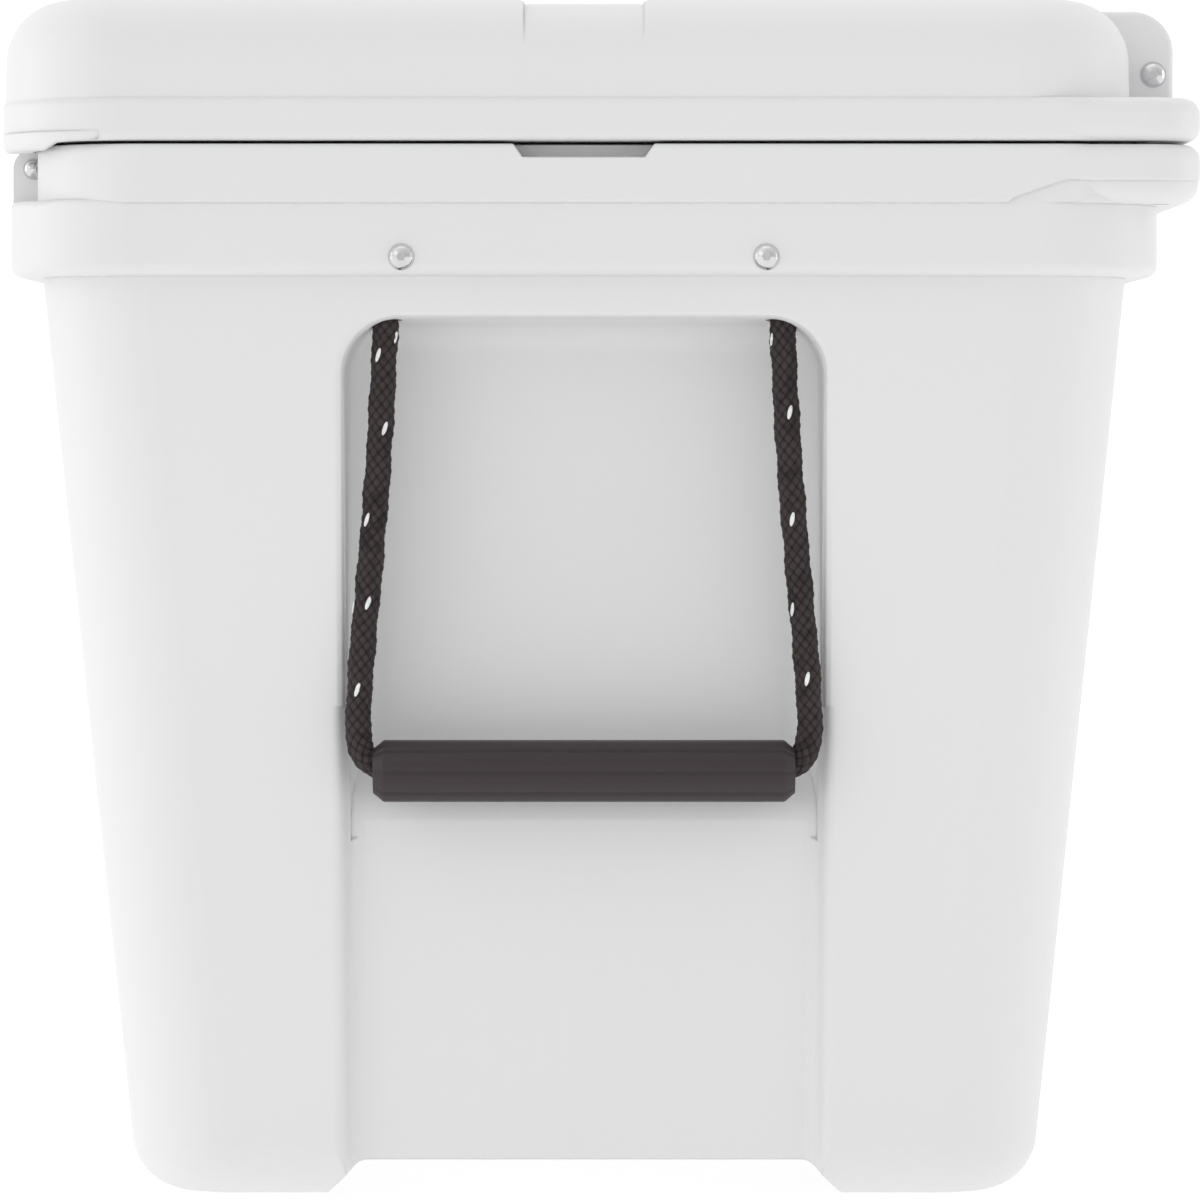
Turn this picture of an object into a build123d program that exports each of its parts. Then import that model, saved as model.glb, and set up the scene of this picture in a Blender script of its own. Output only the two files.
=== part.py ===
"""A rotomoulded cooler chest with a hinged lid, two rubber latches, two rope handles and a drain.

Millimetres. The origin is on the floor under the middle of the whole chest, +Z up, X along the
chest's length, the latches at -Y and the hinge at +Y. The drain is at the +X end.
"""

import os
from math import cos, radians, tan

from build123d import *

# Whole chest.
LENGTH = 775.0
HALF_LENGTH = LENGTH / 2
REAR_Y = 247.6  # the lid's rear face
LUG_Y = -246.6  # the front of the corner lugs
TOP_Z = 499.0
MIDDLE_Y = 6.6  # middle of the wall, the belt, the handles and the legs

# Body, outside. The wall leans in towards the floor.
LEAN_DEGREES = 5.4
LEAN = tan(radians(LEAN_DEGREES))
BODY_BASE_Z = 0.6
WALL_TOP_Z = 384.0
WALL_HALF_X = 374.5  # at WALL_TOP_Z
WALL_HALF_Y = 225.5
WALL_CORNER = 46.0
BASE_ROUND = 24.0
BELT_LOW_Z, BELT_TOP_Z = 384.5, 415.5
BELT_HALF_X, BELT_HALF_Y = 386.0, 238.0
BELT_CORNER = 50.0
RIM_LOW_Z, RIM_TOP_Z = 414.0, 438.1
RIM_REAR_Y, RIM_FRONT_Y = 233.0, -229.5
RIM_CORNER = 44.0
LUG_LOW_Z = 423.2
LUG_INNER_X = 200.0  # where the corner lug ends, along the front
LUG_CORNER = 23.0
LUG_NOSE, LUG_NOSE_AT_JOINT = 6.5, 6.0
CHIN_LOW_Z, CHIN_ROUND = 414.0, 8.5
LUG_SWEEP_Y = (-190.0, -162.0)  # where the rim's lower edge rises to the lug
STRAP_NOTCH_HALF, STRAP_NOTCH_DEPTH = 25.0, 5.5

# Food space and skins.
SKIN = 4.0
SPACE_FLOOR_Z = 66.0
SPACE_TOP = (312.0, 190.0)  # half length and half width at the rim
SPACE_FLOOR = (298.0, 160.0)
SPACE_CORNER = 34.0

# End recess for the handle, the shallow channel below it, and the gaps between the legs.
RECESS_HALF_Y = 99.0
RECESS_TOP_Z = 367.2
RECESS_CORNER = 25.0
RECESS_BACK_X = 332.0
RECESS_LOW_Z = 188.0  # where the recess's back starts to curve out
CHANNEL_DEPTH, CHANNEL_EDGE = 11.0, 5.0
LEG_GAP_Z = 15.8
LEG_GAP_HALF_X = 215.0

# Lid.
LID_LOW_Z = 439.4
FLANGE_TOP_Z = 457.2
FLANGE_FRONT_Y = -236.0
LID_HALF_X = 386.5
LID_REAR_Y, LID_FRONT_Y = 247.1, -220.2
LID_CORNER = 49.0
LID_ROUND = 26.0
LID_DISH_HALF = (303.0, 181.0)  # the shallow dish in the lid's underside
LID_DISH_Z = 444.2
STRAP_GROOVE_HALF, STRAP_GROOVE_DEPTH = 24.5, 2.5

# Hinge.
HINGE_Y, HINGE_Z = 236.0, 430.0
KNUCKLE_R = 8.5
KNUCKLE_GAP = 1.0
ROD_R, ROD_HEAD_R = 3.3, 4.5
ROD_CLEARANCE = 0.1
ROD_INNER_X, ROD_OUTER_X = 36.0, 330.0
BODY_KNUCKLES = ((-55.0, 55.0), (155.0, 215.0), (290.0, ROD_OUTER_X))
LID_KNUCKLES = ((56.0, 154.0), (216.0, 289.0))

# Latches.
LATCH_PIN_Y, LATCH_PIN_Z = -231.6, 470.0
LATCH_PIN_R = 3.0
BOSS_X = (213.0, 317.5)
BOSS_TOP_Z, BOSS_FRONT_Y, BOSS_ROUND = 496.5, -240.0, 17.0
LATCH_X = 265.0
LATCH_HALF = 26.0
LATCH_SLOT_HALF = 27.5
LATCH_HUB_R = 7.5
LATCH_NECK_HALF = 14.5
KEEPER_SLOT_HALF = 16.0
KEEPER_LOW_Z = 432.0
PADLOCK_X, PADLOCK_Y, PADLOCK_R = 368.5, -229.5, 4.5

# Rope handles.
ROPE_R = 5.5
ROPE_X = 362.0
ROPE_HOLE_R, ROPE_HOLE_Y = 6.3, 81.3
ROPE_FOLD_R = 13.0  # where the rope turns into the grip's flared mouth
ROPE_HALF_ROUTE = ((80.8, 387.0), (83.2, 326.0), (88.0, 266.0), (92.9, 216.0), (93.6, 181.2), (60.0, 180.7))
ROPE_MIDDLE_Z = 180.3
GRIP_HALF, GRIP_R, GRIP_Z = 87.0, 13.0, 180.6
GRIP_FLAT_COUNT = 16
ANCHOR_SIZE = (22.0, 28.0, 28.0)
ANCHOR_X, ANCHOR_Y, ANCHOR_Z = 361.0, 79.0, 386.0
SCREW_Y, SCREW_Z = 74.5, 392.0
SCREW_R, DOME_R, DOME_HEIGHT = 2.5, 5.5, 3.6

# Drain, in the +X end.
DRAIN_Z = 90.0
DRAIN_BARREL_R, DRAIN_BORE_R = 12.0, 8.0
DRAIN_FLANGE_R, DRAIN_FLANGE_X = 18.0, (322.0, 326.0)
DRAIN_CUP_R = 24.0
WASHER_THICK = 2.0

# Foot pads.
PAD_X, PAD_Y = 271.0, 142.5
PAD_SIZE = (66.0, 32.0, 4.0)
PAD_CORNER = 10.0

GASKET = (316.2, 324.0, 194.2, 202.0)  # inner and outer half length, inner and outer half width
GASKET_Z = (438.6, 444.2)
SIDES = (("left", -1), ("right", 1))


def save(part, name):
    export_step(part, f"parts/{name}.step")


def slab(x_range, y_range, z_range, corner):
    """An upright block whose four vertical edges are rounded."""
    (x0, x1), (y0, y1), (z0, z1) = x_range, y_range, z_range
    outline = RectangleRounded(x1 - x0, y1 - y0, corner)
    return extrude(Pos((x0 + x1) / 2, (y0 + y1) / 2, z0) * outline, z1 - z0)


def block(x_range, y_range, z_range):
    """A plain block between the given limits."""
    (x0, x1), (y0, y1), (z0, z1) = x_range, y_range, z_range
    return Pos((x0 + x1) / 2, (y0 + y1) / 2, (z0 + z1) / 2) * Box(x1 - x0, y1 - y0, z1 - z0)


def funnel(low, high, centre_y):
    """A block that widens upwards. low and high are (half length, half width, corner, height)."""
    sections = [
        Pos(0, centre_y, z) * RectangleRounded(2 * half_x, 2 * half_y, corner)
        for half_x, half_y, corner, z in (low, high)
    ]
    return loft(sections, ruled=True)


def round_top(part, radius):
    return fillet(part.faces().sort_by(Axis.Z)[-1].edges(), radius)


def round_bottom(part, radius):
    return fillet(part.faces().sort_by(Axis.Z)[0].edges(), radius)


def rod_x(x_range, y, z, radius):
    """A round bar along X."""
    length = x_range[1] - x_range[0]
    return Pos(sum(x_range) / 2, y, z) * Rot(0, 90, 0) * Cylinder(radius, length)


def wall_half(z):
    """The wall's half length and half width at a height."""
    inset = LEAN * (WALL_TOP_Z - z)
    return WALL_HALF_X - inset, WALL_HALF_Y - inset


def channel_floor(z):
    """How far out the channel's floor is at a height."""
    return wall_half(z)[0] - CHANNEL_DEPTH


def end_channel(side, grow=0.0):
    """The shallow channel down one end, from the recess to the underside, leaning with the wall."""
    face_x = wall_half(0)[0]
    floor_x = channel_floor(0) - grow
    half = RECESS_HALF_Y + 1.5 + grow
    outline = Polyline(
        (floor_x, -half + 4),
        (floor_x, half - 4),
        (face_x, half),
        (face_x, half + 30),
        (face_x + 60, half + 30),
        (face_x + 60, -half - 30),
        (face_x, -half - 30),
        (face_x, -half),
        close=True,
    )
    section = make_face(outline)
    section = fillet(section.vertices().filter_by(lambda v: v.X < floor_x + 1), 7)
    outer = section.vertices().filter_by(lambda v: abs(v.X - face_x) < 0.1 and abs(v.Y) < half + 1)
    section = fillet(outer, CHANNEL_EDGE)
    rise = RECESS_LOW_Z + 20
    channel = extrude(Pos(0, MIDDLE_Y, 0) * section, rise, dir=(LEAN, 0, 1))
    below = extrude(Pos(0, MIDDLE_Y, 0) * section, 10, dir=(-LEAN, 0, -1))
    channel = channel + below
    return channel if side > 0 else mirror(channel, Plane.YZ)


def end_recess(side, grow=0.0):
    """The pocket behind one rope handle."""
    back_x = RECESS_BACK_X - grow
    half = RECESS_HALF_Y + grow + 2
    top = RECESS_TOP_Z + grow + 2
    height = top - 120
    front = Plane(origin=(400, MIDDLE_Y, top - height / 2), x_dir=(0, 1, 0), z_dir=(-1, 0, 0))
    mouth = front * RectangleRounded(2 * half, height, RECESS_CORNER + grow)
    pocket = extrude(mouth, 400 - back_x, taper=4)
    pocket = fillet(pocket.faces().sort_by(Axis.X)[0].edges(), 12)
    foot_z, low_z = RECESS_LOW_Z - 24 - grow, RECESS_LOW_Z - 36 - grow
    foot_x, low_x = (channel_floor(z) - grow for z in (foot_z, low_z))
    foot = Polyline(
        (back_x - 5, RECESS_LOW_Z + 20 - grow),
        (back_x, RECESS_LOW_Z + 20 - grow),
        (back_x, RECESS_LOW_Z - grow),
        (foot_x, foot_z),
        (low_x + 0.3, low_z),
        (low_x + 12, low_z - 9),
        (back_x + 90, low_z - 9),
        (back_x + 90, 100),
        (back_x - 5, 100),
        close=True,
    )
    foot = make_face(Plane.XZ * foot)
    bends = foot.vertices().filter_by(lambda v: v.X < foot_x + 1 and foot_z - 1 < v.Z < RECESS_LOW_Z + 1)
    foot = fillet(bends, 30)
    pocket = pocket - extrude(foot, 300, both=True)
    return pocket if side > 0 else mirror(pocket, Plane.YZ)


def recess_lip(side):
    """The rounding round the recess's mouth, as two slopes into the leaning wall."""
    low_z = RECESS_LOW_Z - 20
    middle_z = (RECESS_TOP_Z + low_z) / 2
    height = (RECESS_TOP_Z - low_z) / cos(radians(LEAN_DEGREES))
    inward = Vector(-1, 0, LEAN).normalized()
    face = Vector(wall_half(middle_z)[0], MIDDLE_Y, middle_z)
    lip = []
    for depth, grow, taper, length in ((-0.4, 3.97, 67.5, 1.28), (0.83, 0.9, 22.5, 2.17)):
        plane = Plane(origin=face + inward * depth, x_dir=(0, 1, 0), z_dir=inward)
        size = (2 * (RECESS_HALF_Y + grow), height + 2 * grow)
        outline = plane * RectangleRounded(*size, RECESS_CORNER - 2 + grow)
        lip.append(extrude(outline, length, taper=taper))
    lip = lip[0] + lip[1]
    return lip if side > 0 else mirror(lip, Plane.YZ)


def leg_gaps():
    """The raised underside between the four legs, along the chest and across it."""
    cuts = []
    for half, centre, plane in (
        (RECESS_HALF_Y + 3, MIDDLE_Y, Plane.YZ),
        (LEG_GAP_HALF_X, 0, Plane.XZ),
    ):
        outline = Polyline(
            (-half - 40, -4),
            (-half - 8, -1),
            (-half + 8, LEG_GAP_Z),
            (half - 8, LEG_GAP_Z),
            (half + 8, -1),
            (half + 40, -4),
            close=True,
        )
        section = make_face(outline)
        section = fillet(section.vertices().filter_by(lambda v: v.Y > LEG_GAP_Z - 1), 8)
        section = fillet(section.vertices().filter_by(lambda v: abs(v.Y + 1) < 0.1), 10)
        cuts.append(extrude(plane * (Pos(centre, 0, 0) * section), HALF_LENGTH, both=True))
    return cuts


def food_space(grow=0.0):
    floor_x, floor_y = SPACE_FLOOR
    top_x, top_y = SPACE_TOP
    low = (floor_x + grow, floor_y + grow, SPACE_CORNER - 4 + grow, SPACE_FLOOR_Z - grow)
    high = (top_x + grow, top_y + grow, SPACE_CORNER + grow, RIM_TOP_Z + 1)
    return round_bottom(funnel(low, high, MIDDLE_Y), 10 + grow)


def knuckle_bar(x_range):
    """One hinge knuckle's round barrel."""
    return rod_x(x_range, HINGE_Y, HINGE_Z, KNUCKLE_R)


def both_ways(ranges):
    """The ranges, and the mirror image of each that doesn't cross the middle."""
    return list(ranges) + [(-high, -low) for low, high in ranges if low > 0]


def front_lug(side, z_range, top_round, bottom_round):
    """A corner lug that runs from the end along the front, with a bull nose."""
    low_x, high_x = sorted((side * LUG_INNER_X, side * HALF_LENGTH))
    lug = slab((low_x, high_x), (LUG_Y, -150.0), z_range, LUG_CORNER)
    return round_bottom(round_top(lug, top_round), bottom_round)


def body_outside():
    """The body's outer form before anything is hollowed out."""
    base_x, base_y = wall_half(BODY_BASE_Z)
    top_x, top_y = wall_half(WALL_TOP_Z + 6)
    low = (base_x, base_y, WALL_CORNER - 4, BODY_BASE_Z)
    high = (top_x, top_y, WALL_CORNER, WALL_TOP_Z + 6)
    form = round_bottom(funnel(low, high, MIDDLE_Y), BASE_ROUND)
    belt = slab(
        (-BELT_HALF_X, BELT_HALF_X),
        (MIDDLE_Y - BELT_HALF_Y, MIDDLE_Y + BELT_HALF_Y),
        (BELT_LOW_Z, BELT_TOP_Z),
        BELT_CORNER,
    )
    belt = round_bottom(round_top(belt, 2), 5)
    rim = slab(
        (-HALF_LENGTH, HALF_LENGTH), (RIM_FRONT_Y, RIM_REAR_Y), (RIM_LOW_Z, RIM_TOP_Z), RIM_CORNER
    )
    rim = round_bottom(round_top(rim, 3), 1.4)
    for _, side in SIDES:
        lug = front_lug(side, (LUG_LOW_Z, RIM_TOP_Z), LUG_NOSE_AT_JOINT, 1.4)
        rim = rim - rim_sweep(side) + lug + lug_chin(side)
    return form + belt + rim


def rim_sweep(side):
    """What is cut from the rim's end face, so that its lower edge rises to the lug in an S."""
    far_y, near_y = LUG_SWEEP_Y
    outline = Polyline((-260, 400), (-260, LUG_LOW_Z), (far_y, LUG_LOW_Z), (near_y, RIM_LOW_Z - 0.5),
                       (near_y, 400), close=True)
    face = make_face(Plane.YZ * outline)
    bends = face.vertices().filter_by(lambda v: v.Z > 402 and v.Y > far_y - 1)
    face = fillet(bends, 13)
    return facing(side, extrude(Pos(BELT_HALF_X + 5, 0, 0) * face, 5, both=True))


def lug_chin(side):
    """The part of a corner lug under the rim's raised edge, with a rounded underside."""
    low_x, high_x = sorted((side * LUG_INNER_X, side * (BELT_HALF_X - 0.8)))
    chin = slab((low_x, high_x), (LUG_Y + 0.5, -150.0), (CHIN_LOW_Z, LUG_LOW_Z + 6), LUG_CORNER - 1.5)
    return round_bottom(chin, CHIN_ROUND)


def hinge_cuts():
    """Room in the rim for the lid's knuckles to turn."""
    return [
        block(
            (low - KNUCKLE_GAP, high + KNUCKLE_GAP),
            (HINGE_Y - KNUCKLE_R - KNUCKLE_GAP, HINGE_Y + 60),
            (HINGE_Z - KNUCKLE_R - KNUCKLE_GAP, RIM_TOP_Z + 30),
        )
        for low, high in both_ways(LID_KNUCKLES)
    ]


def body_knuckles():
    """The rim's own knuckles, each a barrel on a web that stands on the belt."""
    made = []
    for x_range in both_ways(BODY_KNUCKLES):
        web = block(x_range, (HINGE_Y - 12, HINGE_Y + KNUCKLE_R), (BELT_TOP_Z - 4, HINGE_Z))
        made.append(web + knuckle_bar(x_range))
    return made


def strap_notch(side):
    """The notch in the rim's end for a tie-down strap, with sloping ends."""
    half, low_z = STRAP_NOTCH_HALF, RIM_TOP_Z - STRAP_NOTCH_DEPTH
    outline = Polyline((-half, low_z), (-half - 5, low_z + 7), (half + 5, low_z + 7), (half, low_z), close=True)
    notch = extrude(Plane.YZ * (Pos(MIDDLE_Y, 0, 0) * make_face(outline)), 19)
    return facing(side, Pos(HALF_LENGTH - 14, 0, 0) * notch)


def latch_keeper_cuts(side):
    """The pocket for a latch's T end, and the slot above it for the latch's neck."""
    middle = side * LATCH_X
    pocket = block(
        (middle - LATCH_SLOT_HALF, middle + LATCH_SLOT_HALF),
        (LUG_Y - 5, RIM_FRONT_Y + 3),
        (BELT_TOP_Z + 0.5, KEEPER_LOW_Z),
    )
    slot = block(
        (middle - KEEPER_SLOT_HALF, middle + KEEPER_SLOT_HALF),
        (LUG_Y - 5, RIM_FRONT_Y + 3),
        (KEEPER_LOW_Z - 2, RIM_TOP_Z + 5),
    )
    return pocket + slot


def anchor_block(side, leg, grow=0.0):
    """The moulded-in block at the top of one rope leg."""
    size_x, size_y, size_z = (size + 2 * grow for size in ANCHOR_SIZE)
    return Pos(side * ANCHOR_X, MIDDLE_Y + leg * ANCHOR_Y, ANCHOR_Z) * Box(size_x, size_y, size_z)


def pad_recess(side_x, side_y, grow=0.0):
    size_x, size_y, size_z = PAD_SIZE
    outline = RectangleRounded(size_x + 2 * grow, size_y + 2 * grow, PAD_CORNER + grow)
    return Pos(side_x * PAD_X, MIDDLE_Y + side_y * PAD_Y, 0) * extrude(outline, size_z + grow)


def body_foam():
    """The foam between the body's skins."""
    low_z, high_z, top_z = LEG_GAP_Z + SKIN + 3, 405.0, RIM_TOP_Z - SKIN
    base_x, base_y = wall_half(low_z)
    low = (base_x - SKIN - 2, base_y - SKIN - 2, WALL_CORNER - 8, low_z)
    high = (WALL_HALF_X - SKIN, WALL_HALF_Y - SKIN, WALL_CORNER - 4, WALL_TOP_Z)
    foam = round_bottom(funnel(low, high, MIDDLE_Y), BASE_ROUND - 6)
    upper = slab((-371.5, 371.5), (-217.0, 219.0), (WALL_TOP_Z - 8, top_z), 32.0)
    upper = upper - slab((-400, 400), (-400, 400), (WALL_TOP_Z - 9, WALL_TOP_Z + 6), 1) + slab(
        (-WALL_HALF_X + SKIN, WALL_HALF_X - SKIN),
        (-217.0, 219.0),
        (WALL_TOP_Z - 6, high_z),
        40.0,
    )
    foam = foam + upper - food_space(SKIN)
    for _, side in SIDES:
        foam = foam - end_recess(side, SKIN) - end_channel(side, SKIN)
        for leg in (-1, 1):
            foam = foam - anchor_block(side, leg, SKIN)
    foam = foam - rod_x((280, 400), MIDDLE_Y, DRAIN_Z, DRAIN_CUP_R + SKIN)
    return foam


def body_shell(foam):
    """The body's double skin in one piece, with the foam's room inside it."""
    shell = body_outside()
    for _, side in SIDES:
        shell = shell - end_recess(side) - recess_lip(side) - end_channel(side)
    for cut in [*hinge_cuts(), *leg_gaps(), food_space()]:
        shell = shell - cut
    for knuckle in body_knuckles():
        shell = shell + knuckle
    for _, side in SIDES:
        shell = shell - latch_keeper_cuts(side)
        shell = shell - strap_notch(side)
        padlock = Pos(side * PADLOCK_X, PADLOCK_Y, RIM_TOP_Z - 15) * Cylinder(PADLOCK_R, 60)
        shell = shell - padlock
        for leg in (-1, 1):
            shell = shell - anchor_block(side, leg)
            hole = Pos(side * ROPE_X, MIDDLE_Y + leg * ROPE_HOLE_Y, ANCHOR_Z - 20)
            shell = shell - hole * Cylinder(ROPE_HOLE_R, 24)
            screw_x = sorted((side * ANCHOR_X, side * (HALF_LENGTH + 5)))
            shell = shell - rod_x(screw_x, MIDDLE_Y + leg * SCREW_Y, SCREW_Z, SCREW_R)
            shell = shell - pad_recess(side, leg)
            shell = shell - Pos(side * PAD_X, MIDDLE_Y + leg * PAD_Y, 9) * Cylinder(2, 20)
        rod = rod_x(sorted((side * ROD_INNER_X, side * (ROD_OUTER_X + 1))), HINGE_Y, HINGE_Z, ROD_R)
        head = rod_x(sorted((side * ROD_OUTER_X, side * (ROD_OUTER_X + 7))), HINGE_Y, HINGE_Z, ROD_HEAD_R + 1)
        shell = shell - rod - head
    shell = shell - rod_x((280, 400), MIDDLE_Y, DRAIN_Z, DRAIN_BARREL_R)
    shell = shell - rod_x((DRAIN_FLANGE_X[0], 400), MIDDLE_Y, DRAIN_Z, DRAIN_CUP_R)
    return shell - foam


def lid_outside():
    """The lid's flange, raised top, latch bosses and rear knuckles."""
    flange = slab(
        (-HALF_LENGTH, HALF_LENGTH), (FLANGE_FRONT_Y, REAR_Y), (LID_LOW_Z, FLANGE_TOP_Z), BELT_CORNER
    )
    flange = round_bottom(round_top(flange, 2.5), 3)
    low = (LID_HALF_X, (LID_REAR_Y - LID_FRONT_Y) / 2, LID_CORNER, FLANGE_TOP_Z - 8)
    high = (LID_HALF_X - 1.5, (LID_REAR_Y - LID_FRONT_Y) / 2 - 1.5, LID_CORNER - 1.5, TOP_Z)
    raised = round_top(funnel(low, high, (LID_REAR_Y + LID_FRONT_Y) / 2), LID_ROUND)
    form = flange + raised
    for _, side in SIDES:
        form = form + front_lug(side, (LID_LOW_Z, FLANGE_TOP_Z), LUG_NOSE, LUG_NOSE_AT_JOINT)
        form = form + latch_boss(side)
    return form


def latch_boss(side):
    """The raised block on the lid's front that holds one latch pin."""
    x_range = sorted((side * BOSS_X[0], side * BOSS_X[1]))
    boss = block(x_range, (BOSS_FRONT_Y, LID_FRONT_Y + 25), (FLANGE_TOP_Z - 6, BOSS_TOP_Z))
    nose = boss.edges().filter_by(Axis.X).sort_by(lambda e: e.center().Z - e.center().Y)[-1]
    boss = fillet(nose, BOSS_ROUND)
    ends = boss.faces().filter_by(Axis.X)
    rims = [edge for face in ends for edge in face.edges() if edge.center().Y < LID_FRONT_Y + 24]
    return fillet([edge for edge in rims if edge.center().Z > FLANGE_TOP_Z - 5], 2.5)


def latch_slot(side):
    """The way through the lid's boss and flange for one latch."""
    middle = side * LATCH_X
    x_range = (middle - LATCH_SLOT_HALF, middle + LATCH_SLOT_HALF)
    return block(x_range, (LUG_Y - 5, LATCH_PIN_Y + LATCH_HUB_R + 1.6), (LID_LOW_Z - 5, TOP_Z + 5))


def strap_groove():
    """A shallow groove for a tie-down strap, along the lid's top and fading down both ends."""
    wide, narrow = STRAP_GROOVE_HALF + 5, STRAP_GROOVE_HALF
    floor_z = TOP_Z - STRAP_GROOVE_DEPTH
    section = Polyline((-narrow, 470), (-narrow, floor_z), (-wide, TOP_Z + 1), (wide, TOP_Z + 1),
                       (narrow, floor_z), (narrow, 470), close=True)
    strap = extrude(Plane.YZ * (Pos(MIDDLE_Y, 0, 0) * make_face(section)), HALF_LENGTH + 5, both=True)
    end_x = LID_HALF_X - 0.4
    kept = Polyline((-end_x, 460), (-end_x, 474), (-end_x + STRAP_GROOVE_DEPTH, floor_z),
                    (end_x - STRAP_GROOVE_DEPTH, floor_z), (end_x, 474), (end_x, 460), close=True)
    kept = make_face(Plane.XZ * kept)
    kept = fillet(kept.vertices().filter_by(lambda v: v.Z > floor_z - 1), LID_ROUND - 1)
    return strap - extrude(kept, 100, both=True)


def rear_lip(side):
    """The rounded skirt under the lid's rear corner."""
    end_x, rear_y = HALF_LENGTH - 0.1, REAR_Y - 0.1
    outer = slab((-end_x, end_x), (-200, rear_y), (436.0, LID_LOW_Z + 4), BELT_CORNER - 3)
    outer = round_bottom(outer, 2.6)
    inner = slab((-HALF_LENGTH - 2, HALF_LENGTH + 2), (-260, RIM_REAR_Y + 1.6), (430.0, 450.0), RIM_CORNER)
    wedge = Polyline((190, LID_LOW_Z + 4), (190, LID_LOW_Z + 1), (222, LID_LOW_Z - 0.5), (240, 430),
                     (260, 430), (260, LID_LOW_Z + 4), close=True)
    x_range = sorted((side * (ROD_OUTER_X + 6), side * (HALF_LENGTH + 5)))
    wedge = extrude(Pos(x_range[0], 0, 0) * make_face(Plane.YZ * wedge), x_range[1] - x_range[0])
    return (outer - inner) & wedge


def lid_knuckles():
    """The lid's knuckles, each a barrel on a web that hangs from the lid."""
    made = []
    for x_range in both_ways(LID_KNUCKLES):
        web = block(x_range, (HINGE_Y - KNUCKLE_R, HINGE_Y + KNUCKLE_R), (HINGE_Z, LID_LOW_Z + 2))
        made.append(web + knuckle_bar(x_range))
    return made


def lid_foam():
    """The foam between the lid's skins."""
    top = slab(
        (-LID_HALF_X + 8, LID_HALF_X - 8),
        (LID_FRONT_Y + 8, LID_REAR_Y - 8),
        (GASKET_Z[1] + SKIN, TOP_Z - STRAP_GROOVE_DEPTH - SKIN),
        LID_CORNER - 8,
    )
    return round_top(top, LID_ROUND - 6)


def gasket_ring(z_range):
    """A ring round the mouth, for the gasket and for its groove."""
    inner_x, outer_x, inner_y, outer_y = GASKET
    outer = slab((-outer_x, outer_x), (MIDDLE_Y - outer_y, MIDDLE_Y + outer_y), z_range, 44.0)
    inner = slab((-inner_x, inner_x), (MIDDLE_Y - inner_y, MIDDLE_Y + inner_y), z_range, 36.2)
    return outer - inner


def lid_shell(foam):
    """The lid's double skin in one piece."""
    shell = lid_outside() - strap_groove()
    half_x, half_y = LID_DISH_HALF
    dish = slab(
        (-half_x, half_x), (MIDDLE_Y - half_y, MIDDLE_Y + half_y), (LID_LOW_Z - 5, LID_DISH_Z), 34.0
    )
    shell = shell - round_top(dish, 4)
    for knuckle in lid_knuckles():
        shell = shell + knuckle
    for _, side in SIDES:
        shell = shell + rear_lip(side)
        shell = shell - latch_slot(side)
        padlock = Pos(side * PADLOCK_X, PADLOCK_Y, LID_LOW_Z + 8) * Cylinder(PADLOCK_R, 40)
        pin = rod_x(sorted((side * BOSS_X[0], side * BOSS_X[1])), LATCH_PIN_Y, LATCH_PIN_Z, LATCH_PIN_R)
        rod = rod_x(
            sorted((side * ROD_INNER_X, side * ROD_OUTER_X)), HINGE_Y, HINGE_Z, ROD_R + ROD_CLEARANCE
        )
        shell = shell - padlock - pin - rod
    return shell - gasket_ring((LID_LOW_Z - 2, GASKET_Z[1])) - foam


def domed_screw(length, shank_r=SCREW_R, dome_r=DOME_R, drive=True):
    """A screw along +X: its domed head outside x = 0 and its shank inside."""
    crown = RadiusArc((DOME_HEIGHT, 0), (0, dome_r), -(dome_r**2 + DOME_HEIGHT**2) / (2 * DOME_HEIGHT))
    outline = Polyline((0, dome_r), (0, shank_r), (-length, shank_r), (-length, 0), (DOME_HEIGHT, 0))
    screw = revolve(make_face(crown + outline), Axis.X)
    if drive:
        socket = extrude(Plane.YZ.offset(DOME_HEIGHT - 2.2) * RegularPolygon(1.9, 6), 4)
        screw = screw - socket
    return screw


def facing(side, part):
    """The part as made for the +X end, or its mirror image for the other end."""
    return part if side > 0 else mirror(part, Plane.YZ)


def hinge_rod(side):
    length = ROD_OUTER_X - ROD_INNER_X
    rod = Pos(ROD_OUTER_X, HINGE_Y, HINGE_Z) * domed_screw(length, ROD_R, ROD_HEAD_R, drive=False)
    return facing(side, rod)


def latch_pin(side):
    """The latch's pin, with a domed head at the end of the chest."""
    length = BOSS_X[1] - BOSS_X[0] - 12
    return facing(side, Pos(BOSS_X[1], LATCH_PIN_Y, LATCH_PIN_Z) * domed_screw(length, LATCH_PIN_R))


def latch_pin_screw(side):
    """The screw that closes the pin at its inner end."""
    screw = mirror(domed_screw(12, LATCH_PIN_R), Plane.YZ)
    return facing(side, Pos(BOSS_X[0], LATCH_PIN_Y, LATCH_PIN_Z) * screw)


def latch(side):
    """One rubber T-latch: an eye on the pin, a strap, a neck and a T end."""
    outline = Polyline(
        (-LATCH_HUB_R, 0), (-10, -6), (-10.6, -24), (-10.2, -37.4), (-12, -38.8), (-12, -44.3),
        (-1, -44.3), (-1, -38.8), (-3.4, -37.4), (-3, -24), (-1.5, -10), (0, 0), close=True,
    )
    side_view = make_face(Plane.YZ * outline)
    strap = extrude(Pos(-LATCH_HALF, 0, 0) * side_view, 2 * LATCH_HALF)
    eye = rod_x((-LATCH_HALF, LATCH_HALF), 0, 0, LATCH_HUB_R)
    body = strap + eye
    for end in (-1, 1):
        x_range = sorted((end * LATCH_NECK_HALF, end * (LATCH_HALF + 5)))
        body = body - block(x_range, (-20, 8), (-38.8, -28.6))
    body = body - rod_x((-40, 40), 0, 0, LATCH_PIN_R + ROD_CLEARANCE)
    return Pos(side * LATCH_X, LATCH_PIN_Y, LATCH_PIN_Z) * body


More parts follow.
